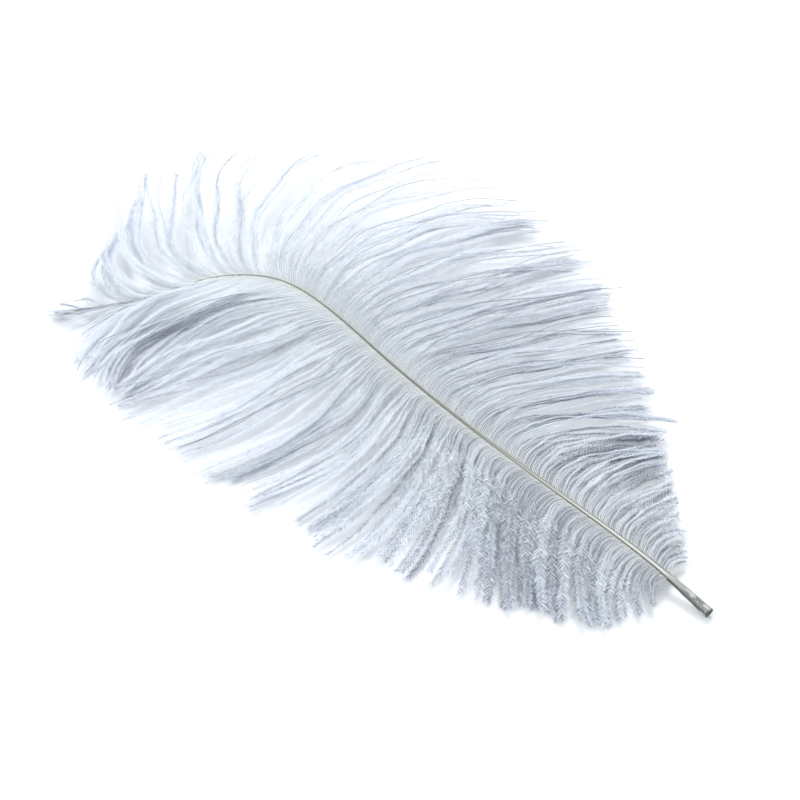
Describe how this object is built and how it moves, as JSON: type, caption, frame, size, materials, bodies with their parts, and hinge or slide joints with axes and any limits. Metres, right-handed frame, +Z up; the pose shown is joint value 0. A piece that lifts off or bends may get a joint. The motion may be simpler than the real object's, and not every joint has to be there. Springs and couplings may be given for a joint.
{
  "type": "ostrich feather",
  "caption": "Pale silver ostrich feather lying on its underside, its shaft arched and turning near the tip, with loose drooping vanes along both sides.",
  "frame": {"origin": "on the surface that the feather lies on, under the middle of its bounding box", "axes": "+X points from the tip towards the cut end of the quill, +Y to the feather's right vane, +Z up"},
  "size_m": [0.2991, 0.1832, 0.0191],
  "materials": {
    "quill_horn": "satin horn, ivory with grey at the cut end",
    "barbs": "soft matt down, silver white with grey depths"
  },
  "bodies": {
    "root": {"shaft": "quill_horn", "left_vane": "barbs", "right_vane": "barbs"}
  },
  "joints": []
}
